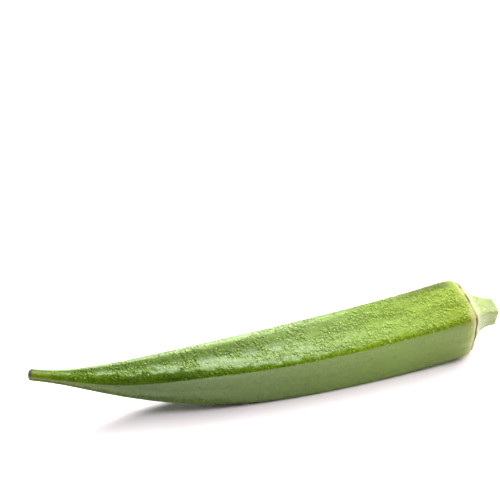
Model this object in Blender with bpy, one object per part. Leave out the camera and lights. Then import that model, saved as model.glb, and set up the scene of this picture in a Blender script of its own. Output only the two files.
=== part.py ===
"""An okra pod, picked with a short piece of its stalk and lying on its side.

The pod, the ring of scars where the flower sat and the cut stalk grew as one piece, so
they are one solid. It lies along X: the cut stalk is at +X and the raised tip at -X.
"""

import math

import bmesh
import bpy
from mathutils import Matrix, Vector

# Driving dimensions, in metres
POD_LENGTH = 0.115          # from the tip to the rim, along the bent axis
RIDGE_RADIUS = 0.0106       # from the axis to a ridge's crest, where the pod is widest
RIM_RADIUS = 0.0098         # the same at the rim
TIP_RADIUS = 0.0015         # the blunt dry end
TIP_DEPTH = 0.0009          # how far its blunt end is rounded back
STALK_LENGTH = 0.0103       # from the rim to the cut
STALK_RADIUS = 0.0041       # a ridge of the stalk, before it tapers

# How fast the pod swells from its tip
SWELL_LENGTH = 0.0364
SWELL_POWER = 1.44

# The five ridges, in degrees from straight up towards -Y
RIDGE_ANGLES = (-12.0, 62.0, 142.0, 218.0, 285.0)

# How the axis bends, in degrees: level near the rim, and rising and turning to the tip
RIM_CLIMB = 3.2
TIP_CLIMB = -15.0
TIP_TURN = -12.0
CLIMB_POWER = 2.05
TURN_POWER = 1.3
STALK_LEAN = Vector((0.0, -0.06, -0.095))    # how the stalk bends away from the axis

# The section: a pentagon with rounded ridges and faces that are a little hollow
RIDGE_SHARPNESS = 14.0      # where the pod is thickest; a larger number gives a sharper ridge
TIP_SHARPNESS = 3.0         # at the tip, where the ridges fade
RIM_SHARPNESS = 7.5         # at the rim, where the pod is rounder
HOLLOW_DEPTH = 0.00060      # how far the middle of a face lies below its chord
MIDRIB_HEIGHT = 0.00035     # the faint rib that takes its place near the rim
FILLED_LENGTH = 0.018       # how far from the rim the faces fill out
SWELLING_HEIGHT = 0.00010   # the low waves over the rows of seeds
SWELLING_LENGTH = 0.0190

# The end of the pod
SHOULDER_LENGTH = 0.0030    # where the faces turn in to the rim
RING_WIDTH = 0.0013         # the band of scars round the rim
RING_SLOPE = 0.25           # how much that band narrows towards the stalk
SCAR_DEPTH = 0.00030        # the two thin scars at the edges of that band
FUNNEL_POWER = 2.8          # how quickly the funnel above the band narrows
CUT_TAPER = 0.0004          # how much thinner the stalk is at the cut
CUT_SLANT = 0.10            # how much the cut leans, as a slope
CUT_DIP = 0.00035           # how far the pith has sunk in

# What the pod rests on is pressed flat to this depth
REST_DEPTH = 0.0003

SIDES = 50
BODY_RINGS = 40
TIP_RINGS = 5
SHOULDER_RINGS = 4
STALK_RINGS = 8
CREST_CROWDING = 0.5        # draws the sides of the mesh together at the ridges

SKIN_GREEN = (0.235, 0.400, 0.075, 1.0)


def spine_directions(steps):
    """The axis's direction at even steps from the tip to the rim."""
    directions = []
    for step in range(steps + 1):
        to_tip = 1.0 - step / steps
        climb = RIM_CLIMB + (TIP_CLIMB - RIM_CLIMB) * to_tip ** CLIMB_POWER
        turn = TIP_TURN * to_tip ** TURN_POWER
        climb, turn = math.radians(climb), math.radians(turn)
        level = math.cos(climb)
        directions.append(Vector((math.cos(turn) * level, math.sin(turn) * level, math.sin(climb))))
    return directions


def make_spine(steps=240):
    """Points along the axis from the tip to the rim, and its direction at each."""
    directions = spine_directions(steps)
    points = [Vector()]
    for before, after in zip(directions, directions[1:]):
        points.append(points[-1] + (before + after).normalized() * (POD_LENGTH / steps))
    return points, directions


def on_spine(spine, station):
    """The axis's point and direction at a distance from the tip, and on along the stalk."""
    points, directions = spine
    step = POD_LENGTH / (len(points) - 1)
    index = min(max(int(station / step), 0), len(points) - 2)
    share = min(max(station / step - index, 0.0), 1.0)
    point = points[index].lerp(points[index + 1], share)
    direction = directions[index].lerp(directions[index + 1], share).normalized()
    beyond = max(station - POD_LENGTH, 0.0)
    point += direction * beyond + STALK_LEAN * (beyond ** 2 / STALK_LENGTH)
    return point, direction


def ridge_radius(station):
    """From the axis to a ridge's crest, between the tip and the rim."""
    swollen = RIDGE_RADIUS * (1.0 - math.exp(-((station / SWELL_LENGTH) ** SWELL_POWER)))
    radius = math.hypot(swollen, TIP_RADIUS)
    into_tip = max(1.0 - station / TIP_DEPTH, 0.0)
    radius *= math.sqrt(max(1.0 - into_tip ** 2, 0.0))
    into_shoulder = max(1.0 - (POD_LENGTH - station) / SHOULDER_LENGTH, 0.0)
    turned_in = 1.0 - math.sqrt(max(1.0 - into_shoulder ** 2, 0.0))
    return radius + (RIM_RADIUS - radius) * turned_in


def faces():
    """The five faces: the angle of each middle, and half its width, in degrees."""
    ends = RIDGE_ANGLES + (RIDGE_ANGLES[0] + 360.0,)
    return [((start + end) / 2, (end - start) / 2) for start, end in zip(ends, ends[1:])]


def rounded_pentagon(angle, sharpness):
    """How far the section reaches at an angle, as a share of its ridges."""
    reach = 0.0
    for middle, half in faces():
        towards = math.cos(math.radians(angle - middle))
        reach += (max(towards, 0.0) / math.cos(math.radians(half))) ** sharpness
    return (reach / 2.0) ** (-1.0 / sharpness)


def face_share(angle):
    """The number of the face that an angle lies on, and 0 at its ridge to 1 at its middle."""
    for number, (middle, half) in enumerate(faces()):
        from_middle = abs((angle - middle + 180.0) % 360.0 - 180.0)
        if from_middle <= half:
            return number, 1.0 - from_middle / half
    return 0, 0.0


def bump(value, middle, width):
    """A smooth hump of height one."""
    return math.exp(-(((value - middle) / width) ** 2))


def skin_radius(station, angle):
    """From the axis to the skin, between the tip and the rim."""
    crest = ridge_radius(station)
    number, share = face_share(angle)
    filled = bump(station, POD_LENGTH, FILLED_LENGTH)
    sharpness = TIP_SHARPNESS + (RIDGE_SHARPNESS - TIP_SHARPNESS) * crest / RIDGE_RADIUS
    sharpness += (RIM_SHARPNESS - sharpness) * filled
    relief = -HOLLOW_DEPTH * share ** 1.5 * (1.0 - filled)
    relief += MIDRIB_HEIGHT * bump(share, 1.0, 0.24) * filled
    wave = math.sin(2 * math.pi * (station / SWELLING_LENGTH + 0.37 * number))
    relief += SWELLING_HEIGHT * wave * share
    return crest * (rounded_pentagon(angle, sharpness) + relief / RIDGE_RADIUS)


def stalk_radius(beyond, angle):
    """The same beyond the rim: a scarred band, a funnel and the stalk."""
    rim = skin_radius(POD_LENGTH, angle)
    if beyond <= RING_WIDTH:
        scar = bump(beyond, 0.2 * RING_WIDTH, 0.15 * RING_WIDTH)
        scar += bump(beyond, RING_WIDTH, 0.15 * RING_WIDTH)
        return rim - RING_SLOPE * beyond - SCAR_DEPTH * scar
    along = (beyond - RING_WIDTH) / (STALK_LENGTH - RING_WIDTH)
    stalk = STALK_RADIUS * rounded_pentagon(angle, RIDGE_SHARPNESS)
    stalk -= CUT_TAPER * max(2.0 * along - 1.0, 0.0)
    funnel = (1.0 - along) ** FUNNEL_POWER
    return stalk + (rim - RING_SLOPE * RING_WIDTH - SCAR_DEPTH - stalk) * funnel


def place(spine, station, angle, share=1.0):
    """A point of the surface: share 1 is the skin, and less lies on the cut face."""
    beyond = station - POD_LENGTH
    if beyond > 0.0:
        radius = stalk_radius(beyond, angle) * share
    else:
        radius = skin_radius(station, angle)
    turned = math.radians(angle)
    slant = CUT_SLANT * max(beyond / STALK_LENGTH, 0.0) ** 3
    dip = CUT_DIP * (1.0 - share ** 4)
    point, direction = on_spine(spine, station)
    point += direction * (radius * slant * math.cos(turned) - dip)
    side = direction.cross(Vector((0.0, 0.0, 1.0))).normalized()
    above = side.cross(direction)
    return point + (above * math.cos(turned) + side * math.sin(turned)) * radius


def ring_stations():
    """Each ring of the mesh, from the tip to the middle of the cut: its station and share."""
    tip = [TIP_DEPTH * (1.0 - math.cos(math.pi / 2 * ring / TIP_RINGS))
           for ring in range(1, TIP_RINGS)]
    body_start, body_end = TIP_DEPTH, POD_LENGTH - SHOULDER_LENGTH
    body = [body_start + (body_end - body_start) * (ring / BODY_RINGS) ** 1.25
            for ring in range(BODY_RINGS + 1)]
    shoulder = [POD_LENGTH - SHOULDER_LENGTH * (1.0 - math.sin(math.pi / 2 * ring / SHOULDER_RINGS))
                for ring in range(1, SHOULDER_RINGS + 1)]
    band = [POD_LENGTH + RING_WIDTH * share for share in (0.2, 0.45, 0.75, 1.0)]
    funnel = [POD_LENGTH + RING_WIDTH + (STALK_LENGTH - RING_WIDTH) * (ring / STALK_RINGS) ** 1.5
              for ring in range(1, STALK_RINGS + 1)]
    rings = [(station, 1.0) for station in tip + body + shoulder + band + funnel]
    cut = POD_LENGTH + STALK_LENGTH
    return rings + [(cut, share) for share in (0.86, 0.6, 0.3)]


def crowd(angle):
    """An even angle in degrees, drawn towards the nearest ridge."""
    faces = len(RIDGE_ANGLES)
    count = angle / 360.0 * faces
    face = int(count) % faces
    share = count - int(count)
    share -= CREST_CROWDING * math.sin(2 * math.pi * share) / (2 * math.pi)
    ends = RIDGE_ANGLES + (RIDGE_ANGLES[0] + 360.0,)
    return ends[face] + (ends[face + 1] - ends[face]) * share


def grow_pod():
    """The whole skin: a closed cylinder whose rings are moved to their places."""
    mesh = bmesh.new()
    bmesh.ops.create_cone(mesh, cap_ends=True, segments=SIDES, radius1=1.0, radius2=1.0, depth=1.0)
    rings = ring_stations()
    sides = [edge for edge in mesh.edges if abs(edge.verts[0].co.z - edge.verts[1].co.z) > 0.5]
    bmesh.ops.subdivide_edges(mesh, edges=sides, cuts=len(rings) - 2)
    spine = make_spine()
    for vertex in mesh.verts:
        station, share = rings[round((vertex.co.z + 0.5) * (len(rings) - 1))]
        even = math.degrees(math.atan2(vertex.co.y, vertex.co.x)) % 360.0
        side = round(even / 360.0 * SIDES) % SIDES
        vertex.co = place(spine, station, crowd(360.0 * side / SIDES), share)
    caps = [face for face in mesh.faces if len(face.verts) > 4]
    bmesh.ops.poke(mesh, faces=caps)
    bmesh.ops.recalc_face_normals(mesh, faces=mesh.faces)
    return mesh


def lay_down(mesh):
    """Lay the pod straight along X on the ground, and press flat what it rests on."""
    tip = min(mesh.verts, key=lambda vertex: vertex.co.x).co
    cut = max(mesh.verts, key=lambda vertex: vertex.co.x).co
    across = math.atan2(cut.y - tip.y, cut.x - tip.x)
    bmesh.ops.rotate(mesh, verts=mesh.verts, cent=Vector(), matrix=Matrix.Rotation(-across, 3, "Z"))
    low = [min(vertex.co[axis] for vertex in mesh.verts) for axis in range(3)]
    high = [max(vertex.co[axis] for vertex in mesh.verts) for axis in range(3)]
    middle = Vector(((low[0] + high[0]) / 2, (low[1] + high[1]) / 2, low[2] + REST_DEPTH))
    bmesh.ops.translate(mesh, verts=mesh.verts, vec=-middle)
    for vertex in mesh.verts:
        vertex.co.z = max(vertex.co.z, 0.0)


def skin_material():
    """Fresh okra skin: a mid green with a soft waxy sheen."""
    material = bpy.data.materials.new("okra skin")
    material.use_nodes = True
    shader = material.node_tree.nodes["Principled BSDF"]
    shader.inputs["Base Color"].default_value = SKIN_GREEN
    shader.inputs["Roughness"].default_value = 0.45
    shader.inputs["Metallic"].default_value = 0.0
    return material


def main():
    for old in list(bpy.data.objects):
        bpy.data.objects.remove(old, do_unlink=True)
    collection = bpy.data.collections.new("okra pod")
    bpy.context.scene.collection.children.link(collection)

    mesh = grow_pod()
    lay_down(mesh)
    for face in mesh.faces:
        face.smooth = True
    data = bpy.data.meshes.new("okra_pod")
    mesh.to_mesh(data)
    mesh.free()
    data.materials.append(skin_material())
    pod = bpy.data.objects.new("okra_pod", data)
    collection.objects.link(pod)


if __name__ == "__main__":
    main()
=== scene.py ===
"""The looks of the okra pod: its skin, its down, its scarred rim and its cut stalk.

The pod lies along X with the cut stalk at +X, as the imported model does. Sizes are in metres
and angles in degrees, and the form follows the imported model's own values.
"""

import math

import bpy
import numpy as np
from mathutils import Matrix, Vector


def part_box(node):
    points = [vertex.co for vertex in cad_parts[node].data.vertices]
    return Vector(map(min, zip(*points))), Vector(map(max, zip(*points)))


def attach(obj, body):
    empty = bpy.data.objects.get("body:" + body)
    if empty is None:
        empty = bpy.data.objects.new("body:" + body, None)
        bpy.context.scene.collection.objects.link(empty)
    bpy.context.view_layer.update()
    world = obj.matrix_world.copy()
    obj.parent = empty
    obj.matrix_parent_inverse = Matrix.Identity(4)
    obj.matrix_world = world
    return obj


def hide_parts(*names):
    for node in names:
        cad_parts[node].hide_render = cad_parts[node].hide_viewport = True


# The pod's own sizes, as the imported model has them
POD_LENGTH = 0.115
RIDGE_RADIUS = 0.0106
RIM_RADIUS = 0.0098
TIP_RADIUS = 0.0015
TIP_DEPTH = 0.0009
STALK_LENGTH = 0.0103
STALK_RADIUS = 0.0041
SWELL_LENGTH = 0.0364
SWELL_POWER = 1.44
RIDGE_ANGLES = (-12.0, 62.0, 142.0, 218.0, 285.0)
RIM_CLIMB = 3.2
TIP_CLIMB = -15.0
TIP_TURN = -12.0
CLIMB_POWER = 2.05
TURN_POWER = 1.3
STALK_LEAN = (0.0, -0.06, -0.095)
RIDGE_SHARPNESS = 14.0
TIP_SHARPNESS = 3.0
RIM_SHARPNESS = 7.5
HOLLOW_DEPTH = 0.00060
HOLLOW_POWER = 1.5
MIDRIB_HEIGHT = 0.00035
MIDRIB_WIDTH = 0.24                                      # as a share of half a face
FILLED_LENGTH = 0.018
SWELLING_HEIGHT = 0.00010
SWELLING_LENGTH = 0.0190
SWELLING_DELAY = 0.37                                    # from one face to the next, in waves
SHOULDER_LENGTH = 0.0030
RING_WIDTH = 0.0013
RING_SLOPE = 0.25
SCAR_DEPTH = 0.00030
SCAR_WIDTH = 0.15                                        # as a share of the band's width
FUNNEL_POWER = 2.8
CUT_TAPER = 0.0004
CUT_SLANT = 0.10
CUT_DIP = 0.00035
REST_DEPTH = 0.0003
CREST_CROWDING = 0.5

# The down, whose bristles are drawn a little thicker than life so that they show
BRISTLES = 16000
BRISTLE_LENGTH = 0.00045
BRISTLE_RADIUS = 0.00002
BRISTLE_SINK = 0.1                                       # share of it that is under the skin
BRISTLE_SCATTER = 0.3                                    # how far they lean, by chance
MORE_ON_RIDGES = 1.5
DOWN_START = 0.03                                        # these two in pod lengths from the tip
DOWN_END = 0.995
DOWN_CLEAR = 0.0006                                      # above the table

# How finely the skin is made
SIDES = 120
TIP_RINGS = 6
BODY_RINGS = 52
SHOULDER_RINGS = 6
BAND_RINGS = 12
STALK_RINGS = 16
CUT_SHARES = (0.97, 0.90, 0.80, 0.68, 0.54, 0.38, 0.20)

# Colours that change along a part, each with its place between the part's start and end
FACE_GREENS = ((0.0, "#525d1e"), (0.06, "#516418"), (0.25, "#4b631a"), (0.55, "#617739"),
               (0.8, "#6b8232"), (0.95, "#6d8026"))
# the vivid bands by the ridges: partly the skin's own green, partly painted shade where the ridges turn
# from the lights
RIDGE_GREENS_AND_SHADE = ((0.0, "#5d6a14"), (0.06, "#445f08"), (0.3, "#2b4202"), (0.5, "#445d05"),
                (0.72, "#5d750f"), (0.95, "#627813"))
# painted shade in the hollow channels of the lit side
CHANNEL_SHADE_GREENS = ((0.0, "#525d1e"), (0.1, "#3b5310"), (0.4, "#4a5f20"), (0.7, "#697c3b"),
                  (0.95, "#6c7f2a"))
# greyer on the shaded side: a painted reflection of the white table, lighter towards the rim
SHADED_SIDE_GREENS_AND_REFLECTION = ((0.0, "#505a1d"), (0.06, "#48581e"), (0.25, "#415729"), (0.55, "#566b31"),
                 (0.8, "#677e3a"), (0.95, "#627335"))
STALK_GREENS = ((0.0, "#938f62"), (0.08, "#939764"), (0.16, "#909869"), (0.4, "#848f5b"),
                (0.8, "#78864a"), (0.97, "#758346"), (1.0, "#4c572e"))
CUT_GREENS = ((0.0, "#748549"), (0.15, "#9ba973"), (0.4, "#acb78b"), (0.55, "#929f69"),
              (0.7, "#aeb88f"), (1.0, "#bac1a1"))
DOWN_COLOURS = ((0.3, "#9fae62"), (0.5, "#b9c584"), (0.7, "#d5dcae"))

# Colours that stay the same
# painted sheen: the pale colour of the first ridge's crest
PAINTED_CREST_SHEEN = "#8ea46c"
# painted shade: the first ridge's darker crest near the rim
PAINTED_CREST_SHADE = "#37450f"
# wax bloom with painted sheen: pale grey-green on the smooth patches of the lit side
BLOOM_AND_SHEEN = "#6e8064"
# painted glint on the tops of some pimples
PAINTED_GLINT = "#98ae4e"
RIM_YELLOW = "#7c8a38"
RIDGE_OLIVE = "#6b661c"
RIM_CREAM = "#90905a"
DRY_TIP = "#4b4c36"
WAX_TINT = "#f4ffd6"
STALK_SPECK = "#a9b183"

# Patterns, by how many come to a metre, or along, across and up, each with the size of one
PER_MM = 1000.0
PIMPLES = 1.4 * PER_MM                                   # 0.7 mm, coarser than life, to show
MOTTLES = 1.0 * PER_MM                                   # 1 mm
LUMPS = 0.33 * PER_MM                                    # 3 mm
WANDERING = 0.42 * PER_MM                                # 2.4 mm
BLOTCHES = 0.48 * PER_MM                                 # 2 mm
PATCHES = (0.21 * PER_MM, 0.4 * PER_MM, 0.4 * PER_MM)    # 5 mm long and 2.5 mm wide
STREAKS = (0.07 * PER_MM, 0.9 * PER_MM, 0.9 * PER_MM)    # 14 mm long and 1.1 mm wide
FIBRES = (0.12 * PER_MM, 1.5 * PER_MM, 1.5 * PER_MM)     # 8 mm by 0.7 mm, coarser than life, to show
SPECKS = 0.9 * PER_MM                                    # 1.1 mm apart
SCAR_BREAKS = 0.26 * PER_MM                              # 4 mm
PITH_CELLS = 2.5 * PER_MM                                # 0.4 mm, coarser than life, to show
DOWN_SHADES = 0.6 * PER_MM                               # 1.7 mm

# The two scars of the band: place and half width as shares of the band's width, and colour
SCARS = ((0.2, 0.42, "#5c4f2e"), (1.0, 0.2, "#857447"))

# The skin's materials, in order
GREEN_SKIN, STALK_SKIN, CUT_END = range(3)

# The view and the light
VIEW_AZIMUTH = 18.2
VIEW_ELEVATION = 29.1
VIEW_DISTANCE = 0.338
VIEW_AIM = (0.0081, 0.0455, 0.0140)
VIEW_ANGLE = 24.0


# Form

def spine_at(stations):
    """Points on the bent axis, and its directions, at distances from the tip."""
    steps = 240
    to_tip = 1.0 - np.arange(steps + 1) / steps
    climb = np.radians(RIM_CLIMB + (TIP_CLIMB - RIM_CLIMB) * to_tip ** CLIMB_POWER)
    turn = np.radians(TIP_TURN * to_tip ** TURN_POWER)
    along = np.stack([np.cos(turn) * np.cos(climb), np.sin(turn) * np.cos(climb), np.sin(climb)], 1)
    middle = along[1:] + along[:-1]
    middle /= np.linalg.norm(middle, axis=1)[:, None]
    points = np.vstack([np.zeros(3), np.cumsum(middle * (POD_LENGTH / steps), axis=0)])
    places = POD_LENGTH * np.arange(steps + 1) / steps
    directions = np.stack([np.interp(stations, places, along[:, axis]) for axis in range(3)], -1)
    directions /= np.linalg.norm(directions, axis=-1)[..., None]
    on_axis = np.stack([np.interp(stations, places, points[:, axis]) for axis in range(3)], -1)
    beyond = np.maximum(stations - POD_LENGTH, 0.0)[..., None]
    return on_axis + directions * beyond + np.array(STALK_LEAN) * beyond ** 2 / STALK_LENGTH, directions


def bump(value, middle, width):
    """A smooth hump of height one."""
    return np.exp(-(((value - middle) / width) ** 2))


def faces():
    """The five faces: the angle of each middle, and half its width, in degrees."""
    ends = RIDGE_ANGLES + (RIDGE_ANGLES[0] + 360.0,)
    return [((start + end) / 2, (end - start) / 2) for start, end in zip(ends, ends[1:])]


def rounded_pentagon(angles, sharpness):
    """How far the section reaches at each angle, as a share of its ridges."""
    reach = 0.0
    for middle, half in faces():
        towards = np.maximum(np.cos(np.radians(angles - middle)), 0.0)
        reach = reach + (towards / math.cos(math.radians(half))) ** sharpness
    return (reach / 2.0) ** (-1.0 / sharpness)


def face_share(angles):
    """The face that each angle lies on, and 0 at its ridge to 1 at its middle."""
    number, share = np.zeros_like(angles), np.zeros_like(angles)
    for face, (middle, half) in enumerate(faces()):
        from_middle = np.abs((angles - middle + 180.0) % 360.0 - 180.0)
        inside = from_middle <= half
        number = np.where(inside, face, number)
        share = np.where(inside, 1.0 - from_middle / half, share)
    return number, share


def ridge_radius(stations):
    """From the axis to a ridge's crest, between the tip and the rim."""
    swollen = RIDGE_RADIUS * (1.0 - np.exp(-((stations / SWELL_LENGTH) ** SWELL_POWER)))
    radius = np.hypot(swollen, TIP_RADIUS)
    into_tip = np.maximum(1.0 - stations / TIP_DEPTH, 0.0)
    radius = radius * np.sqrt(np.maximum(1.0 - into_tip ** 2, 0.0))
    into_shoulder = np.clip(1.0 - (POD_LENGTH - stations) / SHOULDER_LENGTH, 0.0, 1.0)
    turned_in = 1.0 - np.sqrt(1.0 - into_shoulder ** 2)
    return radius + (RIM_RADIUS - radius) * turned_in


def skin_radius(stations, angles):
    """From the axis to the skin, between the tip and the rim."""
    crest = ridge_radius(stations)
    number, share = face_share(angles)
    filled = bump(stations, POD_LENGTH, FILLED_LENGTH)
    sharpness = TIP_SHARPNESS + (RIDGE_SHARPNESS - TIP_SHARPNESS) * crest / RIDGE_RADIUS
    sharpness = sharpness + (RIM_SHARPNESS - sharpness) * filled
    relief = -HOLLOW_DEPTH * share ** HOLLOW_POWER * (1.0 - filled)
    relief = relief + MIDRIB_HEIGHT * bump(share, 1.0, MIDRIB_WIDTH) * filled
    wave = np.sin(2 * np.pi * (stations / SWELLING_LENGTH + SWELLING_DELAY * number))
    relief = relief + SWELLING_HEIGHT * wave * share
    return crest * (rounded_pentagon(angles, sharpness) + relief / RIDGE_RADIUS)


def stalk_radius(beyond, angles):
    """The same beyond the rim: a scarred band, a funnel and the stalk."""
    rim = skin_radius(np.full_like(angles, POD_LENGTH), angles)
    scar = bump(beyond, 0.2 * RING_WIDTH, SCAR_WIDTH * RING_WIDTH)
    scar = scar + bump(beyond, RING_WIDTH, SCAR_WIDTH * RING_WIDTH)
    band = rim - RING_SLOPE * beyond - SCAR_DEPTH * scar
    along = np.clip((beyond - RING_WIDTH) / (STALK_LENGTH - RING_WIDTH), 0.0, 1.0)
    stalk = STALK_RADIUS * rounded_pentagon(angles, RIDGE_SHARPNESS)
    stalk = stalk - CUT_TAPER * np.maximum(2.0 * along - 1.0, 0.0)
    funnel = (1.0 - along) ** FUNNEL_POWER
    funnelled = stalk + (rim - RING_SLOPE * RING_WIDTH - SCAR_DEPTH - stalk) * funnel
    return np.where(beyond <= RING_WIDTH, band, funnelled)


def place(stations, angles, shares):
    """Points of the surface: share 1 is the skin, and less lies on the cut face."""
    beyond = np.maximum(stations - POD_LENGTH, 0.0)
    radius = np.where(beyond > 0.0, stalk_radius(beyond, angles) * shares, skin_radius(stations, angles))
    turned = np.radians(angles)
    slant = CUT_SLANT * (beyond / STALK_LENGTH) ** 3
    dip = CUT_DIP * (1.0 - shares ** 4)
    points, direction = spine_at(stations)
    points = points + direction * (radius * slant * np.cos(turned) - dip)[..., None]
    side = np.cross(direction, np.array([0.0, 0.0, 1.0]))
    side /= np.linalg.norm(side, axis=-1)[..., None]
    above = np.cross(side, direction)
    outwards = above * np.cos(turned)[..., None] + side * np.sin(turned)[..., None]
    return points + outwards * radius[..., None]


def crowd(rounds):
    """Angles for even shares of the way round, drawn towards the ridges."""
    number = np.floor(rounds * len(RIDGE_ANGLES) + 1e-9).astype(int) % len(RIDGE_ANGLES)
    share = (rounds * len(RIDGE_ANGLES)) % 1.0
    share = share - CREST_CROWDING * np.sin(2 * np.pi * share) / (2 * np.pi)
    ends = np.array(RIDGE_ANGLES + (RIDGE_ANGLES[0] + 360.0,))
    return ends[number] + (ends[number + 1] - ends[number]) * share


def ring_stations():
    """Each ring of the skin, from the tip to the middle of the cut: its station and share."""
    quarter = np.linspace(0.0, math.pi / 2, TIP_RINGS + 1)[1:-1]
    tip = TIP_DEPTH * (1.0 - np.cos(quarter))
    body_end = POD_LENGTH - SHOULDER_LENGTH
    body = TIP_DEPTH + (body_end - TIP_DEPTH) * np.linspace(0.0, 1.0, BODY_RINGS) ** 1.15
    turn = np.linspace(0.0, math.pi / 2, SHOULDER_RINGS + 1)[1:]
    shoulder = body_end + SHOULDER_LENGTH * np.sin(turn)
    band = POD_LENGTH + RING_WIDTH * np.linspace(0.0, 1.0, BAND_RINGS + 1)[1:]
    narrowing = np.linspace(0.0, 1.0, STALK_RINGS + 1)[1:] ** 1.5
    stalk = POD_LENGTH + RING_WIDTH + (STALK_LENGTH - RING_WIDTH) * narrowing
    stations = np.concatenate([tip, body, shoulder, band, stalk])
    stations = np.append(stations, np.full(len(CUT_SHARES), POD_LENGTH + STALK_LENGTH))
    shares = np.append(np.ones(len(stations) - len(CUT_SHARES)), CUT_SHARES)
    return stations, shares


def lay_down(points, box):
    """Lay the pod straight along X, press flat what it rests on and keep it inside the box."""
    tip, cut = points[points[:, 0].argmin()], points[points[:, 0].argmax()]
    across = math.atan2(cut[1] - tip[1], cut[0] - tip[0])
    turn = np.array([[math.cos(across), -math.sin(across), 0.0],
                     [math.sin(across), math.cos(across), 0.0],
                     [0.0, 0.0, 1.0]])
    points = points @ turn
    low, high = points.min(axis=0), points.max(axis=0)
    points = points - [(low[0] + high[0]) / 2, (low[1] + high[1]) / 2, low[2] + REST_DEPTH]
    points[:, 2] = np.maximum(points[:, 2], 0.0)
    room = np.array(box[1]) - np.array(box[0])
    size = points.max(axis=0) - points.min(axis=0)
    points *= np.minimum(room / size, 1.0)
    return points + [(box[0][0] + box[1][0]) / 2, (box[0][1] + box[1][1]) / 2, box[0][2]]


# Materials

def linear(colour):
    """A hex colour as linear red, green, blue and alpha."""
    parts = [int(colour[start:start + 2], 16) / 255 for start in (1, 3, 5)]
    light = [part / 12.92 if part <= 0.04045 else ((part + 0.055) / 1.055) ** 2.4 for part in parts]
    return (*light, 1.0)


def add_node(tree, kind, sockets=None, **settings):
    """Add a node with its settings, and set or link its inputs."""
    added = tree.nodes.new(kind)
    for name, value in settings.items():
        setattr(added, name, value)
    for name, value in (sockets or {}).items():
        if isinstance(value, bpy.types.NodeSocket):
            tree.links.new(value, added.inputs[name])
        else:
            added.inputs[name].default_value = value
    return added


def start_material(name):
    """A new material, its node tree and its Principled shader."""
    material = bpy.data.materials.new(name)
    material.use_nodes = True
    tree = material.node_tree
    return material, tree, tree.nodes["Principled BSDF"]


def read_growth(tree):
    """Share of the way round, distance along in pod lengths, and 0 to 1 from ridge to ridge."""
    uv = add_node(tree, "ShaderNodeUVMap", uv_map="growth")
    parts = add_node(tree, "ShaderNodeSeparateXYZ", {"Vector": uv.outputs["UV"]})
    faces_on = add_node(tree, "ShaderNodeMath", {0: parts.outputs["X"], 1: len(RIDGE_ANGLES)},
                        operation="MULTIPLY")
    across = add_node(tree, "ShaderNodeMath", {0: faces_on.outputs[0]}, operation="FRACT")
    return parts.outputs["X"], parts.outputs["Y"], across.outputs[0]


def fill_ramp(ramp, stops):
    """Give a colour ramp its stops, each a position and a hex colour."""
    while len(ramp.elements) < len(stops):
        ramp.elements.new(1.0)
    for element, (position, colour) in zip(ramp.elements, stops):
        element.position = position
        element.color = linear(colour)


def find_shaded_side(tree, turns, along):
    """1 on the side turned away from the lights, from the second ridge round to the fourth, whose greyer
    paint is a painted reflection.
    """
    start = add_node(tree, "ShaderNodeMapRange", {"Value": along, "From Min": 0.1, "From Max": 0.42,
                                                  "To Min": 0.275, "To Max": 0.206},
                     interpolation_type="SMOOTHSTEP")
    stop = add_node(tree, "ShaderNodeMath", {0: start.outputs["Result"], 1: 0.01}, operation="ADD")
    from_light = add_node(tree, "ShaderNodeMapRange", {"Value": turns,
                                                       "From Min": start.outputs["Result"],
                                                       "From Max": stop.outputs[0]},
                          interpolation_type="SMOOTHSTEP")
    to_light = add_node(tree, "ShaderNodeMapRange", {"Value": turns, "From Min": 0.62,
                                                     "From Max": 0.58}, interpolation_type="SMOOTHSTEP")
    shady = add_node(tree, "ShaderNodeMath", {0: from_light.outputs["Result"],
                                              1: to_light.outputs["Result"]}, operation="MULTIPLY")
    return shady.outputs[0]


def find_shaded_channels(tree, wandered, sunny, along):
    """1 in the channel after each ridge of the sunny side, darkened with painted shade, and less towards
    the rim.
    """
    channel = add_node(tree, "ShaderNodeMapRange", {"Value": wandered, "From Min": 0.16,
                                                    "From Max": 0.26}, interpolation_type="SMOOTHSTEP")
    stop = add_node(tree, "ShaderNodeMapRange", {"Value": wandered, "From Min": 0.5,
                                                 "From Max": 0.38}, interpolation_type="SMOOTHSTEP")
    fading = add_node(tree, "ShaderNodeMapRange", {"Value": along, "From Min": 0.45, "From Max": 0.65,
                                                   "To Min": 1.0, "To Max": 0.3})
    for share in (stop.outputs["Result"], sunny, fading.outputs["Result"]):
        channel = add_node(tree, "ShaderNodeMath", {0: channel.outputs[0], 1: share},
                           operation="MULTIPLY")
    return channel.outputs[0]


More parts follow.
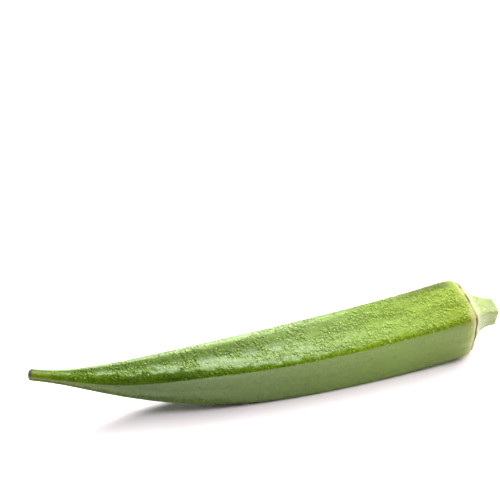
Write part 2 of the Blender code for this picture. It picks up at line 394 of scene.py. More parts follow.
def find_bands(tree, wandered, turns, along, across):
    """1 in the vivid band that runs up to each ridge, and by the tip past all but the first: darker
    green, partly the skin's own and partly painted shade.
    """
    start = add_node(tree, "ShaderNodeMapRange", {"Value": along, "From Min": 0.3, "From Max": 0.55,
                                                  "To Min": 0.64, "To Max": 0.82},
                     interpolation_type="SMOOTHSTEP")
    widened = add_node(tree, "ShaderNodeMapRange", {"Value": along, "From Min": 0.2, "From Max": 0.05,
                                                    "To Max": 0.14})
    start = add_node(tree, "ShaderNodeMath", {0: start.outputs["Result"], 1: widened.outputs["Result"]},
                     operation="SUBTRACT")
    stop = add_node(tree, "ShaderNodeMath", {0: start.outputs[0], 1: 0.12}, operation="ADD")
    before_ridge = add_node(tree, "ShaderNodeMapRange", {"Value": wandered, "From Min": start.outputs[0],
                                                         "From Max": stop.outputs[0]},
                            interpolation_type="SMOOTHSTEP")
    spread = add_node(tree, "ShaderNodeMapRange", {"Value": along, "From Min": 0.1, "From Max": 0.42,
                                                   "To Min": 0.42, "To Max": 0.07},
                      interpolation_type="SMOOTHSTEP")
    spread_over = add_node(tree, "ShaderNodeMath", {0: spread.outputs["Result"], 1: 0.05},
                           operation="SUBTRACT")
    after_ridge = add_node(tree, "ShaderNodeMapRange", {"Value": across,
                                                        "From Min": spread.outputs["Result"],
                                                        "From Max": spread_over.outputs[0]},
                           interpolation_type="SMOOTHSTEP")
    past_second = add_node(tree, "ShaderNodeMapRange", {"Value": turns, "From Min": 0.19,
                                                        "From Max": 0.2})
    after_ridge = add_node(tree, "ShaderNodeMath", {0: after_ridge.outputs["Result"],
                                                    1: past_second.outputs["Result"]},
                           operation="MULTIPLY")
    band = add_node(tree, "ShaderNodeMath", {0: before_ridge.outputs["Result"],
                                             1: after_ridge.outputs[0]}, operation="MAXIMUM")
    return band.outputs[0]


def find_places(tree):
    """Where a point of the skin lies in the pod's growth, and in its sides, bands and patches."""
    turns, along, across = read_growth(tree)
    metres = add_node(tree, "ShaderNodeTexCoord").outputs["Object"]
    shady = find_shaded_side(tree, turns, along)
    sunny = add_node(tree, "ShaderNodeMath", {0: 1.0, 1: shady}, operation="SUBTRACT")

    # the edges of the channels and bands wander by up to a sixth of a face
    wander = add_node(tree, "ShaderNodeTexNoise", {"Vector": metres, "Scale": WANDERING, "Detail": 3.0})
    wandered = add_node(tree, "ShaderNodeMath", {0: wander.outputs["Fac"], 1: 0.34, 2: across},
                        operation="MULTIPLY_ADD")
    wandered = add_node(tree, "ShaderNodeMath", {0: wandered.outputs[0], 1: 0.17}, operation="SUBTRACT")
    channel = find_shaded_channels(tree, wandered.outputs[0], sunny.outputs[0], along)
    band = find_bands(tree, wandered.outputs[0], turns, along, across)

    # the first ridge is painted pale with a painted sheen, so that no band shows on it
    past_first = add_node(tree, "ShaderNodeMath", {0: turns, 1: 0.5}, operation="PINGPONG")
    off_first = add_node(tree, "ShaderNodeMapRange", {"Value": past_first.outputs[0], "From Min": 0.03,
                                                      "From Max": 0.055},
                         interpolation_type="SMOOTHSTEP")
    band = add_node(tree, "ShaderNodeMath", {0: band, 1: off_first.outputs["Result"]},
                    operation="MULTIPLY")
    on_first = add_node(tree, "ShaderNodeMapRange", {"Value": off_first.outputs["Result"], "To Min": 1.0,
                                                     "To Max": 0.0})

    # smooth patches, where wax fills the gaps between the pimples, and fewer towards the rim
    drawn_out = add_node(tree, "ShaderNodeMapping", {"Vector": metres, "Scale": PATCHES})
    patch = add_node(tree, "ShaderNodeTexNoise", {"Vector": drawn_out.outputs["Vector"], "Scale": 1.0,
                                                  "Detail": 4.0, "Roughness": 0.55})
    fewer = add_node(tree, "ShaderNodeMapRange", {"Value": along, "From Min": 0.45, "From Max": 0.7,
                                                  "To Max": 0.05})
    smooth = add_node(tree, "ShaderNodeMath", {0: patch.outputs["Fac"], 1: fewer.outputs["Result"]},
                      operation="SUBTRACT")

    # round pimples, side by side
    pimples = add_node(tree, "ShaderNodeTexVoronoi", {"Vector": metres, "Scale": PIMPLES})
    dome = add_node(tree, "ShaderNodeMapRange", {"Value": pimples.outputs["Distance"], "From Min": 0.65,
                                                 "From Max": 0.1}, interpolation_type="SMOOTHSTEP")
    return {"along": along, "across": across, "metres": metres, "shady": shady,
            "sunny": sunny.outputs[0], "channel": channel, "band": band.outputs[0],
            "on_first": on_first.outputs["Result"], "patch": patch.outputs["Fac"],
            "smooth": smooth.outputs[0], "dome": dome.outputs["Result"],
            "from_top": pimples.outputs["Distance"], "chance": pimples.outputs["Color"]}


def paint_sides(tree, where):
    """Soft green faces, greyer on the shaded side with a painted reflection of the table, with channels
    in painted shade and vivid bands partly in painted shade.
    """
    greens = []
    for stops in (FACE_GREENS, RIDGE_GREENS_AND_SHADE, CHANNEL_SHADE_GREENS, SHADED_SIDE_GREENS_AND_REFLECTION):
        ramp = add_node(tree, "ShaderNodeValToRGB", {"Fac": where["along"]})
        fill_ramp(ramp.color_ramp, stops)
        greens.append(ramp.outputs["Color"])
    face, crest, channel, shaded_side = greens
    sided = add_node(tree, "ShaderNodeMix", {"Factor": where["shady"], "A": face, "B": shaded_side},
                     data_type="RGBA")
    veined = add_node(tree, "ShaderNodeMix", {"Factor": where["channel"], "B": channel,
                                              "A": sided.outputs["Result"]}, data_type="RGBA")

    # on the shaded side most of the vivid green gives way to the grey of the painted reflection
    unreflected = add_node(tree, "ShaderNodeMapRange", {"Value": where["shady"], "To Min": 1.0,
                                                    "To Max": 0.15})
    vivid = add_node(tree, "ShaderNodeMath", {0: where["band"], 1: unreflected.outputs["Result"]},
                     operation="MULTIPLY")
    greened = add_node(tree, "ShaderNodeMix", {"Factor": vivid.outputs[0], "B": crest,
                                               "A": veined.outputs["Result"]}, data_type="RGBA")
    return greened.outputs["Result"], vivid.outputs[0]


def paint_first_ridge(tree, where, green):
    """The first ridge: pale with a painted sheen for most of its length, and darker with painted shade
    near the rim.
    """
    # painted sheen along the first ridge, fading out towards the rim
    to_rim = add_node(tree, "ShaderNodeMapRange", {"Value": where["along"], "From Min": 0.5,
                                                   "From Max": 0.75, "To Min": 0.6, "To Max": 0.0})
    waxed = add_node(tree, "ShaderNodeMath", {0: where["on_first"], 1: to_rim.outputs["Result"]},
                     operation="MULTIPLY")
    paled = add_node(tree, "ShaderNodeMix", {"Factor": waxed.outputs[0], "A": green,
                                             "B": linear(PAINTED_CREST_SHEEN)}, data_type="RGBA")
    # painted shade darkens the first ridge towards the rim
    near_rim = add_node(tree, "ShaderNodeMapRange", {"Value": where["along"], "From Min": 0.75,
                                                     "From Max": 0.95, "To Max": 0.65},
                        interpolation_type="SMOOTHSTEP")
    crest_shade = add_node(tree, "ShaderNodeMath", {0: where["on_first"], 1: near_rim.outputs["Result"]},
                    operation="MULTIPLY")
    darkened = add_node(tree, "ShaderNodeMix", {"Factor": crest_shade.outputs[0], "A": paled.outputs["Result"],
                                                "B": linear(PAINTED_CREST_SHADE)}, data_type="RGBA")
    return darkened.outputs["Result"]


def paint_bloom_and_sheen(tree, where, green):
    """A grey bloom on the smooth patches, between the channel and the vivid band: partly wax bloom and
    partly painted sheen on the lit side.
    """
    bloom = add_node(tree, "ShaderNodeMapRange", {"Value": where["smooth"], "From Min": 0.47,
                                                  "From Max": 0.56, "To Max": 0.42},
                     interpolation_type="SMOOTHSTEP")
    sheltered = add_node(tree, "ShaderNodeMapRange", {"Value": where["across"], "From Min": 0.35,
                                                      "From Max": 0.5}, interpolation_type="SMOOTHSTEP")
    unworn = add_node(tree, "ShaderNodeMapRange", {"Value": where["along"], "From Min": 0.75,
                                                   "From Max": 0.5}, interpolation_type="SMOOTHSTEP")
    off_band = add_node(tree, "ShaderNodeMath", {0: 1.0, 1: where["band"]}, operation="SUBTRACT")
    for share in (sheltered.outputs["Result"], unworn.outputs["Result"], off_band.outputs[0],
                  where["sunny"]):
        bloom = add_node(tree, "ShaderNodeMath", {0: bloom.outputs[0], 1: share}, operation="MULTIPLY")
    # partly wax bloom, partly painted sheen
    bloomed = add_node(tree, "ShaderNodeMix", {"Factor": bloom.outputs[0], "A": green,
                                               "B": linear(BLOOM_AND_SHEEN)}, data_type="RGBA")
    return bloomed.outputs["Result"]


def paint_streaks(tree, where, green):
    """Streaks along the pod, and fine mottling."""
    stretch = add_node(tree, "ShaderNodeMapping", {"Vector": where["metres"], "Scale": STREAKS})
    streak = add_node(tree, "ShaderNodeTexNoise", {"Vector": stretch.outputs["Vector"], "Scale": 1.0,
                                                   "Detail": 3.0, "Roughness": 0.55})
    mottle = add_node(tree, "ShaderNodeTexNoise", {"Vector": where["metres"], "Scale": MOTTLES,
                                                   "Detail": 2.0, "Roughness": 0.5})
    both = add_node(tree, "ShaderNodeMath", {0: streak.outputs["Fac"], 1: mottle.outputs["Fac"]},
                    operation="ADD")
    darkest = add_node(tree, "ShaderNodeMapRange", {"Value": where["shady"], "To Min": 0.76,
                                                    "To Max": 0.92})
    lightest = add_node(tree, "ShaderNodeMapRange", {"Value": where["shady"], "To Min": 1.24,
                                                     "To Max": 1.08})
    shade = add_node(tree, "ShaderNodeMapRange", {"Value": both.outputs[0], "From Min": 0.7,
                                                  "From Max": 1.3,
                                                  "To Min": darkest.outputs["Result"],
                                                  "To Max": lightest.outputs["Result"]})
    streaked = add_node(tree, "ShaderNodeVectorMath", {0: green, 1: shade.outputs["Result"]},
                        operation="MULTIPLY")
    return streaked.outputs["Vector"]


def paint_pimples(tree, where, green):
    """Pimples, with painted shade between them and a painted highlight on their tops, fainter on the
    smooth patches, and painted glints on some tops.
    """
    # painted shade between the pimples and a painted highlight on their tops, strongest on the lit side
    between = add_node(tree, "ShaderNodeMapRange", {"Value": where["shady"], "To Min": 0.84,
                                                    "To Max": 0.97})
    painted_top_highlight = add_node(tree, "ShaderNodeMapRange", {"Value": where["shady"], "To Min": 1.15,
                                                   "To Max": 1.03})
    shade = add_node(tree, "ShaderNodeMapRange", {"Value": where["dome"],
                                                  "To Min": between.outputs["Result"],
                                                  "To Max": painted_top_highlight.outputs["Result"]})
    pimpled = add_node(tree, "ShaderNodeVectorMath", {0: green, 1: shade.outputs["Result"]},
                       operation="MULTIPLY")
    clear = add_node(tree, "ShaderNodeMapRange", {"Value": where["smooth"], "From Min": 0.55,
                                                  "From Max": 0.47, "To Min": 0.15, "To Max": 1.0})
    pimpled = add_node(tree, "ShaderNodeMix", {"Factor": clear.outputs["Result"], "A": green,
                                               "B": pimpled.outputs["Vector"]}, data_type="RGBA")
    # painted glints: pale tops on some pimples of the lit side
    chance = add_node(tree, "ShaderNodeSeparateColor", {"Color": where["chance"]})
    lucky = add_node(tree, "ShaderNodeMapRange", {"Value": chance.outputs["Red"], "From Min": 0.78,
                                                  "From Max": 1.0})
    top = add_node(tree, "ShaderNodeMapRange", {"Value": where["from_top"], "From Min": 0.38,
                                                "From Max": 0.12}, interpolation_type="SMOOTHSTEP")
    dot = lucky
    for share in (top.outputs["Result"], where["sunny"], clear.outputs["Result"]):
        dot = add_node(tree, "ShaderNodeMath", {0: dot.outputs[0], 1: share}, operation="MULTIPLY")
    glinted = add_node(tree, "ShaderNodeMix", {"Factor": dot.outputs[0], "A": pimpled.outputs["Result"],
                                              "B": linear(PAINTED_GLINT)}, data_type="RGBA")
    return glinted.outputs["Result"]


def paint_ends(tree, where, green, vivid):
    """Yellow close to the rim, olive on its ridges and cream at its ragged edge, and a dry tip."""
    yellow = add_node(tree, "ShaderNodeMapRange", {"Value": where["along"], "From Min": 0.965,
                                                   "From Max": 1.0}, interpolation_type="SMOOTHSTEP")
    yellowed = add_node(tree, "ShaderNodeMix", {"Factor": yellow.outputs["Result"], "A": green,
                                                "B": linear(RIM_YELLOW)}, data_type="RGBA")
    ripe = add_node(tree, "ShaderNodeMapRange", {"Value": where["along"], "From Min": 0.955,
                                                 "From Max": 0.99}, interpolation_type="SMOOTHSTEP")
    ripe_ridge = add_node(tree, "ShaderNodeMath", {0: ripe.outputs["Result"], 1: vivid},
                          operation="MULTIPLY")
    olive = add_node(tree, "ShaderNodeMix", {"Factor": ripe_ridge.outputs[0],
                                             "A": yellowed.outputs["Result"],
                                             "B": linear(RIDGE_OLIVE)}, data_type="RGBA")
    blotch = add_node(tree, "ShaderNodeTexNoise", {"Vector": where["metres"], "Scale": BLOTCHES,
                                                   "Detail": 2.0})
    ragged = add_node(tree, "ShaderNodeMath", {0: blotch.outputs["Fac"], 1: 0.045, 2: where["along"]},
                      operation="MULTIPLY_ADD")
    edge = add_node(tree, "ShaderNodeMapRange", {"Value": ragged.outputs[0], "From Min": 1.008,
                                                 "From Max": 1.02}, interpolation_type="SMOOTHSTEP")
    rimmed = add_node(tree, "ShaderNodeMix", {"Factor": edge.outputs["Result"],
                                              "A": olive.outputs["Result"],
                                              "B": linear(RIM_CREAM)}, data_type="RGBA")

    # the tip is the dried end of the flower
    dry = add_node(tree, "ShaderNodeMapRange", {"Value": where["along"], "From Min": 0.012,
                                                "From Max": 0.001}, interpolation_type="SMOOTHSTEP")
    dried = add_node(tree, "ShaderNodeMix", {"Factor": dry.outputs["Result"],
                                             "A": rimmed.outputs["Result"],
                                             "B": linear(DRY_TIP)}, data_type="RGBA")
    return dried.outputs["Result"]


def wax_skin(tree, where, shader):
    """Wax, duller in patches: thick on the shaded side, thin in channels, on bands, by the rim."""
    dull = add_node(tree, "ShaderNodeMapRange", {"Value": where["patch"], "From Min": 0.35,
                                                 "From Max": 0.65, "To Min": 0.24, "To Max": 0.46})
    tree.links.new(dull.outputs["Result"], shader.inputs["Roughness"])
    wax = add_node(tree, "ShaderNodeMapRange", {"Value": where["shady"], "To Min": 0.21,
                                                "To Max": 0.6})
    in_channel = add_node(tree, "ShaderNodeMapRange", {"Value": where["channel"], "To Min": 1.0,
                                                       "To Max": 0.5})
    on_band = add_node(tree, "ShaderNodeMapRange", {"Value": where["band"], "To Min": 1.0,
                                                    "To Max": 0.15})
    to_rim = add_node(tree, "ShaderNodeMapRange", {"Value": where["along"], "From Min": 0.4,
                                                   "From Max": 0.8, "To Min": 1.0, "To Max": 0.35})
    for share in (in_channel, to_rim, on_band):
        wax = add_node(tree, "ShaderNodeMath", {0: wax.outputs[0], 1: share.outputs["Result"]},
                       operation="MULTIPLY")
    tree.links.new(wax.outputs[0], shader.inputs["Specular IOR Level"])


def raise_pimples(tree, where, shader):
    """Low lumps under fine pimples, flatter on the smooth patches and on the shaded side."""
    lump = add_node(tree, "ShaderNodeTexNoise", {"Vector": where["metres"], "Scale": LUMPS,
                                                 "Detail": 2.0})
    lumpy = add_node(tree, "ShaderNodeBump", {"Height": lump.outputs["Fac"], "Strength": 0.13,
                                              "Distance": 0.0008})
    uneven = add_node(tree, "ShaderNodeTexNoise", {"Vector": where["metres"], "Scale": MOTTLES,
                                                   "Detail": 2.0, "Roughness": 0.5})
    pimple = add_node(tree, "ShaderNodeMath", {0: where["dome"], 1: 0.4, 2: uneven.outputs["Fac"]},
                      operation="MULTIPLY_ADD")
    raised = add_node(tree, "ShaderNodeMapRange", {"Value": where["shady"], "To Min": 1.0,
                                                   "To Max": 0.06})
    unfilled = add_node(tree, "ShaderNodeMapRange", {"Value": where["smooth"], "From Min": 0.46,
                                                     "From Max": 0.54, "To Min": 0.85, "To Max": 0.2})
    raised = add_node(tree, "ShaderNodeMath", {0: raised.outputs["Result"],
                                               1: unfilled.outputs["Result"]}, operation="MULTIPLY")
    pimpled = add_node(tree, "ShaderNodeBump", {"Height": pimple.outputs[0],
                                                "Strength": raised.outputs[0], "Distance": 0.0005,
                                                "Normal": lumpy.outputs["Normal"]})
    tree.links.new(pimpled.outputs["Normal"], shader.inputs["Normal"])


def make_skin_material():
    """Fresh okra skin: waxy pimpled green, most vivid on its ridges and yellower by the rim, with painted
    sheen, shade, glints and reflection.
    """
    material, tree, shader = start_material("okra skin")
    where = find_places(tree)
    green, vivid = paint_sides(tree, where)
    green = paint_first_ridge(tree, where, green)
    green = paint_bloom_and_sheen(tree, where, green)
    green = paint_streaks(tree, where, green)
    green = paint_pimples(tree, where, green)
    green = paint_ends(tree, where, green, vivid)
    tree.links.new(green, shader.inputs["Base Color"])
    wax_skin(tree, where, shader)
    raise_pimples(tree, where, shader)
    shader.inputs["IOR"].default_value = 1.5
    shader.inputs["Specular Tint"].default_value = linear(WAX_TINT)
    return material


def paint_scars(tree, metres, along, across, pale):
    """Two brown scars round the band, broken in places and where the ridges cross them."""
    patchy = add_node(tree, "ShaderNodeTexNoise", {"Vector": metres, "Scale": SCAR_BREAKS, "Detail": 2.0})
    broken = add_node(tree, "ShaderNodeMapRange", {"Value": patchy.outputs["Fac"], "From Min": 0.36,
                                                   "From Max": 0.44}, interpolation_type="SMOOTHSTEP")
    off_ridge = add_node(tree, "ShaderNodeMapRange", {"Value": across, "From Min": 0.62,
                                                      "From Max": 0.54}, interpolation_type="SMOOTHSTEP")
    broken = add_node(tree, "ShaderNodeMath", {0: broken.outputs["Result"],
                                               1: off_ridge.outputs["Result"]}, operation="MULTIPLY")
    ring_share = RING_WIDTH / POD_LENGTH
    for share, width, brown in SCARS:
        away = add_node(tree, "ShaderNodeMath", {0: along, 1: 1.0 + share * ring_share},
                        operation="SUBTRACT")
        away = add_node(tree, "ShaderNodeMath", {0: away.outputs[0]}, operation="ABSOLUTE")
        line = add_node(tree, "ShaderNodeMapRange", {"Value": away.outputs[0],
                                                     "From Min": width * ring_share,
                                                     "From Max": 0.5 * width * ring_share},
                        interpolation_type="SMOOTHSTEP")
        scar = add_node(tree, "ShaderNodeMath", {0: line.outputs["Result"], 1: broken.outputs[0]},
                        operation="MULTIPLY")
        scarred = add_node(tree, "ShaderNodeMix", {"Factor": scar.outputs[0], "A": pale,
                                                   "B": linear(brown)}, data_type="RGBA")
        pale = scarred.outputs["Result"]
    return pale


def make_stalk_material():
    """The scarred band and the stalk: cream with broken brown scars, then pale fibrous green."""
    material, tree, shader = start_material("okra stalk skin")
    _, along, across = read_growth(tree)
    metres = add_node(tree, "ShaderNodeTexCoord").outputs["Object"]
    base = add_node(tree, "ShaderNodeMapRange", {"Value": along, "From Min": 1.0,
                                                 "From Max": 1.0 + STALK_LENGTH / POD_LENGTH})
    pale = add_node(tree, "ShaderNodeValToRGB", {"Fac": base.outputs["Result"]})
    fill_ramp(pale.color_ramp, STALK_GREENS)

    # fibres run along the stalk, under small pale specks
    stretch = add_node(tree, "ShaderNodeMapping", {"Vector": metres, "Scale": FIBRES})
    fibre = add_node(tree, "ShaderNodeTexNoise", {"Vector": stretch.outputs["Vector"], "Scale": 1.0,
                                                  "Detail": 3.0})
    shade = add_node(tree, "ShaderNodeMapRange", {"Value": fibre.outputs["Fac"], "From Min": 0.3,
                                                  "From Max": 0.7, "To Min": 0.8, "To Max": 1.12})
    shaded = add_node(tree, "ShaderNodeVectorMath", {0: pale.outputs["Color"],
                                                     1: shade.outputs["Result"]}, operation="MULTIPLY")
    specks = add_node(tree, "ShaderNodeTexVoronoi", {"Vector": metres, "Scale": SPECKS})
    speck = add_node(tree, "ShaderNodeMapRange", {"Value": specks.outputs["Distance"], "From Min": 0.25,
                                                  "From Max": 0.12}, interpolation_type="SMOOTHSTEP")
    specked = add_node(tree, "ShaderNodeMix", {"Factor": speck.outputs["Result"],
                                               "A": shaded.outputs["Vector"],
                                               "B": linear(STALK_SPECK)}, data_type="RGBA")

    scarred = paint_scars(tree, metres, along, across, specked.outputs["Result"])
    tree.links.new(scarred, shader.inputs["Base Color"])

    grain = add_node(tree, "ShaderNodeBump", {"Height": fibre.outputs["Fac"], "Strength": 0.6,
                                              "Distance": 0.0003})
    tree.links.new(grain.outputs["Normal"], shader.inputs["Normal"])
    dry = add_node(tree, "ShaderNodeMapRange", {"Value": fibre.outputs["Fac"], "To Min": 0.4,
                                                "To Max": 0.6})
    tree.links.new(dry.outputs["Result"], shader.inputs["Roughness"])
    shader.inputs["IOR"].default_value = 1.45
    return material


def make_cut_material():
    """The cut end of the stalk: moist pale pith inside a ring of greener wood."""
    material, tree, shader = start_material("cut okra stalk")
    _, along, _ = read_growth(tree)
    metres = add_node(tree, "ShaderNodeTexCoord").outputs["Object"]
    start = 1.0 + STALK_LENGTH / POD_LENGTH
    inwards = add_node(tree, "ShaderNodeMapRange", {"Value": along, "From Min": start,
                                                    "From Max": start + STALK_RADIUS / POD_LENGTH})
    rings = add_node(tree, "ShaderNodeValToRGB", {"Fac": inwards.outputs["Result"]})
    fill_ramp(rings.color_ramp, CUT_GREENS)
    cells = add_node(tree, "ShaderNodeTexNoise", {"Vector": metres, "Scale": PITH_CELLS, "Detail": 2.0})
    shade = add_node(tree, "ShaderNodeMapRange", {"Value": cells.outputs["Fac"], "From Min": 0.3,
                                                  "From Max": 0.7, "To Min": 0.85, "To Max": 1.1})
    shaded = add_node(tree, "ShaderNodeVectorMath", {0: rings.outputs["Color"],
                                                     1: shade.outputs["Result"]}, operation="MULTIPLY")
    tree.links.new(shaded.outputs["Vector"], shader.inputs["Base Color"])
    pith = add_node(tree, "ShaderNodeBump", {"Height": cells.outputs["Fac"], "Strength": 0.5,
                                             "Distance": 0.0002})
    tree.links.new(pith.outputs["Normal"], shader.inputs["Normal"])
    shader.inputs["Roughness"].default_value = 0.5
    shader.inputs["IOR"].default_value = 1.4
    return material


# Pieces

def make_tube(rings):
    """A tube with all the rings of the skin, evenly spaced, and a fan of faces at each end."""
    bpy.context.tool_settings.mesh_select_mode = (False, True, False)
    bpy.ops.mesh.primitive_cylinder_add(vertices=SIDES, radius=1.0, depth=1.0)
    tube = bpy.context.object
    mesh = tube.data
    for part in (*mesh.vertices, *mesh.polygons):
        part.select = False
    for edge in mesh.edges:
        first, second = (mesh.vertices[end].co.z for end in edge.vertices)
        edge.select = abs(first - second) > 0.5
    bpy.ops.object.mode_set(mode="EDIT")
    bpy.ops.mesh.subdivide(number_cuts=rings - 2)
    bpy.context.tool_settings.mesh_select_mode = (False, False, True)
    bpy.ops.mesh.select_all(action="DESELECT")
    bpy.ops.mesh.select_face_by_sides(number=SIDES, type="EQUAL")
    bpy.ops.mesh.poke()
    bpy.ops.object.mode_set(mode="OBJECT")
    return tube


def shape_tube(mesh, box):
    """Move the tube's points to the pod's surface, and say where each lies in its growth."""
    stations, shares = ring_stations()
    start = np.empty(3 * len(mesh.vertices))
    mesh.vertices.foreach_get("co", start)
    start = start.reshape(-1, 3)
    ring = np.rint((start[:, 2] + 0.5) * (len(stations) - 1)).astype(int)
    side = np.rint(np.arctan2(start[:, 1], start[:, 0]) / (2 * np.pi) * SIDES).astype(int) % SIDES
    centre = np.hypot(start[:, 0], start[:, 1]) < 0.5
    shares = np.where(centre & (ring > 0), 0.0, shares[ring])
    stations = np.where(centre & (ring == 0), 0.0, stations[ring])
    points = lay_down(place(stations, crowd(side / SIDES), shares), box)
    mesh.vertices.foreach_set("co", points.ravel())
    return side / SIDES, stations, shares


def map_growth(mesh, rounds, stations, shares):
    """Tell each corner where it lies in the pod's growth, and each face which material it has."""
    corners, sizes = np.empty(len(mesh.loops), int), np.empty(len(mesh.polygons), int)
    mesh.loops.foreach_get("vertex_index", corners)
    mesh.polygons.foreach_get("loop_total", sizes)
    starts = np.cumsum(sizes) - sizes
    rounds = rounds[corners]
    seam = np.maximum.reduceat(rounds, starts) - np.minimum.reduceat(rounds, starts) > 0.5
    rounds = rounds + (np.repeat(seam, sizes) & (rounds < 0.5))
    lengths = stations + (1.0 - shares) * np.where(stations > POD_LENGTH, STALK_RADIUS, 0.0)
    growth = mesh.uv_layers.new(name="growth")
    growth.uv.foreach_set("vector", np.stack([rounds, lengths[corners] / POD_LENGTH], 1).ravel())

    middles = np.add.reduceat(stations[corners], starts) / sizes
    inner = np.add.reduceat(shares[corners], starts) / sizes < 0.999
    kind = np.where(middles <= POD_LENGTH, GREEN_SKIN, np.where(inner, CUT_END, STALK_SKIN))
    mesh.polygons.foreach_set("material_index", kind.astype(np.int32))


def make_skin(box):
    """The whole pod in one skin, from its dry tip to the cut."""
    pod = make_tube(len(ring_stations()[0]))
    pod.name = "pod_skin"
    growth = shape_tube(pod.data, box)
    for material in (make_skin_material(), make_stalk_material(), make_cut_material()):
        pod.data.materials.append(material)
    map_growth(pod.data, *growth)
    bpy.ops.object.shade_smooth()
    smooth = pod.modifiers.new("rounder", "SUBSURF")
    smooth.levels = smooth.render_levels = 1
    bpy.ops.object.modifier_apply(modifier=smooth.name)

    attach(pod, "root")
    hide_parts("okra_pod")
    return pod


def make_down_material():
    """Okra down: fine pale bristles, dry and a little glassy, that catch the light at the edges."""
    material, tree, shader = start_material("okra down")
    metres = add_node(tree, "ShaderNodeTexCoord").outputs["Object"]
    varied = add_node(tree, "ShaderNodeTexNoise", {"Vector": metres, "Scale": DOWN_SHADES, "Detail": 2.0})
    pale = add_node(tree, "ShaderNodeValToRGB", {"Fac": varied.outputs["Fac"]})
    fill_ramp(pale.color_ramp, DOWN_COLOURS)
    tree.links.new(pale.outputs["Color"], shader.inputs["Base Color"])
    shader.inputs["Roughness"].default_value = 0.45
    shader.inputs["IOR"].default_value = 1.5
    return material


def make_bristle():
    """One bent bristle that stands on the origin."""
    bpy.ops.object.select_all(action="DESELECT")
    bpy.context.tool_settings.mesh_select_mode = (True, False, False)
    bpy.ops.mesh.primitive_circle_add(vertices=3, radius=BRISTLE_RADIUS, fill_type="NGON")
    bristle = bpy.context.object
    bpy.ops.object.mode_set(mode="EDIT")
    bpy.ops.mesh.select_all(action="SELECT")
    half_way = (0.08 * BRISTLE_LENGTH, 0.0, 0.6 * BRISTLE_LENGTH)
    bpy.ops.mesh.extrude_region_move(TRANSFORM_OT_translate={"value": half_way})
    bpy.ops.transform.resize(value=(0.7, 0.7, 1.0), center_override=half_way)
    to_the_end = (0.22 * BRISTLE_LENGTH, 0.0, 0.4 * BRISTLE_LENGTH)
    bpy.ops.mesh.extrude_region_move(TRANSFORM_OT_translate={"value": to_the_end})
    bpy.ops.mesh.merge(type="CENTER")
    bpy.ops.mesh.select_all(action="SELECT")
    bpy.ops.mesh.normals_make_consistent(inside=False)
    bpy.ops.object.mode_set(mode="OBJECT")
    return bristle


def find_roots(mesh, draw):
    """Where bristles stand on the green skin, off the flat that it rests on, and its way out."""
    area, start = np.empty(len(mesh.polygons)), np.empty(len(mesh.polygons), int)
    normal, kind = np.empty(3 * len(mesh.polygons)), np.empty(len(mesh.polygons), int)
    mesh.polygons.foreach_get("area", area)
    mesh.polygons.foreach_get("loop_start", start)
    mesh.polygons.foreach_get("normal", normal)
    mesh.polygons.foreach_get("material_index", kind)
    corner, point = np.empty(len(mesh.loops), int), np.empty(3 * len(mesh.vertices))
    growth = np.empty(2 * len(mesh.loops))
    mesh.loops.foreach_get("vertex_index", corner)
    mesh.vertices.foreach_get("co", point)
    mesh.uv_layers["growth"].uv.foreach_get("vector", growth)
    point, normal, growth = point.reshape(-1, 3), normal.reshape(-1, 3), growth.reshape(-1, 2)
    from_ridge = np.cos(2 * np.pi * len(RIDGE_ANGLES) * growth[start, 0])
    weight = area * (1.0 + MORE_ON_RIDGES * from_ridge ** 2 * (from_ridge > 0))
    weight *= (kind == GREEN_SKIN) & (growth[start, 1] > DOWN_START) & (growth[start, 1] < DOWN_END)
    weight *= point[corner[start], 2] > DOWN_CLEAR
    chosen = draw.choice(len(weight), BRISTLES, p=weight / weight.sum())
    corners = point[corner[start[chosen][:, None] + np.arange(4)]]
    across, along = draw.random((2, BRISTLES, 1))
    roots = (corners[:, 0] * (1 - across) + corners[:, 1] * across) * (1 - along)
    roots = roots + (corners[:, 3] * (1 - across) + corners[:, 2] * across) * along
    return roots, normal[chosen]


def make_down(mesh):
    """The down: one bent bristle, copied over the skin and thickest along the ridges."""
    down = make_bristle()
    down.name = "okra_down"
    bristle = np.empty(3 * len(down.data.vertices))
    down.data.vertices.foreach_get("co", bristle)
    bristle = bristle.reshape(-1, 3)
    copies = down.modifiers.new("bristles", "ARRAY")
    copies.count = BRISTLES
    bpy.ops.object.modifier_apply(modifier=copies.name)

    draw = np.random.default_rng(7)
    roots, outwards = find_roots(mesh, draw)
    roots = roots - BRISTLE_SINK * BRISTLE_LENGTH * outwards
    up = outwards + BRISTLE_SCATTER * draw.normal(size=(BRISTLES, 3))
    up /= np.linalg.norm(up, axis=1)[:, None]
    lean = np.cross(up, draw.normal(size=(BRISTLES, 3)))
    lean /= np.linalg.norm(lean, axis=1)[:, None]
    turned = np.stack([lean, np.cross(up, lean), up], 1) * draw.uniform(0.5, 1.0, (BRISTLES, 1, 1))
    points = roots[:, None, :] + bristle @ turned
    down.data.vertices.foreach_set("co", points.ravel())
    down.data.update()
    bpy.ops.object.shade_smooth()
    down.data.materials.append(make_down_material())

    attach(down, "root")


def make_floor():
    """A plain white table, well past the edges of the view, of card with hardly a highlight."""
    bpy.ops.mesh.primitive_plane_add(size=6.0, location=(0.0, 0.0, 0.0))
    floor = bpy.context.object
    floor.name = "floor"
    material, _, shader = start_material("white card")
    shader.inputs["Base Color"].default_value = linear("#f5edf2")
    shader.inputs["Roughness"].default_value = 0.9
    shader.inputs["Specular IOR Level"].default_value = 0.2
    floor.data.materials.append(material)


def aim(thing, target):
    """Turn a light or the camera towards a point."""
    away = Vector(target) - thing.location
    thing.rotation_euler = away.to_track_quat("-Z", "Y").to_euler()


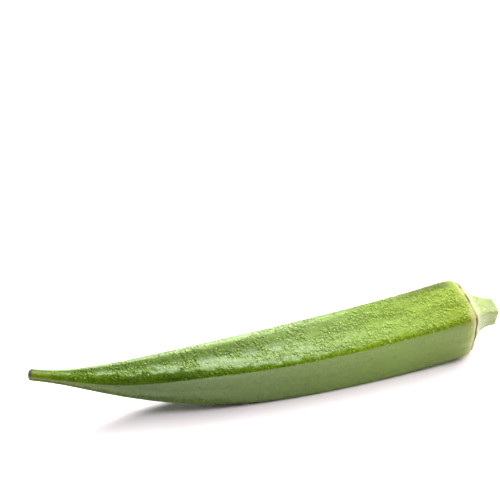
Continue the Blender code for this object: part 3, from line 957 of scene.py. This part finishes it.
def add_soft_box(name, location, width, height, power):
    """A soft box that faces the pod."""
    bpy.ops.object.light_add(type="AREA", location=location)
    box_light = bpy.context.object
    box_light.name = name
    box_light.data.shape = "RECTANGLE"
    box_light.data.size = width
    box_light.data.size_y = height
    box_light.data.energy = power
    aim(box_light, (0.0, 0.0, 0.01))


def light_scene():
    """Soft boxes above and behind, and a dim room all round."""
    add_soft_box("main light", (0.22, 0.31, 0.54), 0.34, 0.34, 9.3)
    add_soft_box("top light", (0.45, -0.10, 0.85), 1.20, 1.20, 21.5)
    add_soft_box("back light", (0.10, 0.90, 0.25), 1.20, 0.35, 1.8)
    world = bpy.data.worlds.new("dim room")
    bpy.context.scene.world = world
    world.use_nodes = True
    world.node_tree.nodes["Background"].inputs["Color"].default_value = linear("#ffffff")
    world.node_tree.nodes["Background"].inputs["Strength"].default_value = 0.1
    bpy.context.scene.view_settings.view_transform = "Standard"


def place_camera():
    """The camera looks down along the pod from beyond its tip's side."""
    azimuth, elevation = math.radians(VIEW_AZIMUTH), math.radians(VIEW_ELEVATION)
    forward = Vector((math.sin(azimuth) * math.cos(elevation), math.cos(azimuth) * math.cos(elevation),
                      -math.sin(elevation)))
    bpy.ops.object.camera_add(location=Vector(VIEW_AIM) - forward * VIEW_DISTANCE)
    camera = bpy.context.object
    camera.data.angle = math.radians(VIEW_ANGLE)
    camera.data.clip_start = 0.01
    aim(camera, VIEW_AIM)
    bpy.context.scene.camera = camera


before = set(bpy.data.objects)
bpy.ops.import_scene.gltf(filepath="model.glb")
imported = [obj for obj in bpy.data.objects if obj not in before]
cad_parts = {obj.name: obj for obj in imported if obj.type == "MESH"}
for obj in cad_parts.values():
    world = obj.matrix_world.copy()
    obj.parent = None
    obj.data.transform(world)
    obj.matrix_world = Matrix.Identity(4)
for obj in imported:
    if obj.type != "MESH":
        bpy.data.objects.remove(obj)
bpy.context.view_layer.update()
bpy.ops.object.select_all(action="DESELECT")

pod_skin = make_skin(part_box("okra_pod"))
make_down(pod_skin.data)
make_floor()
light_scene()
place_camera()
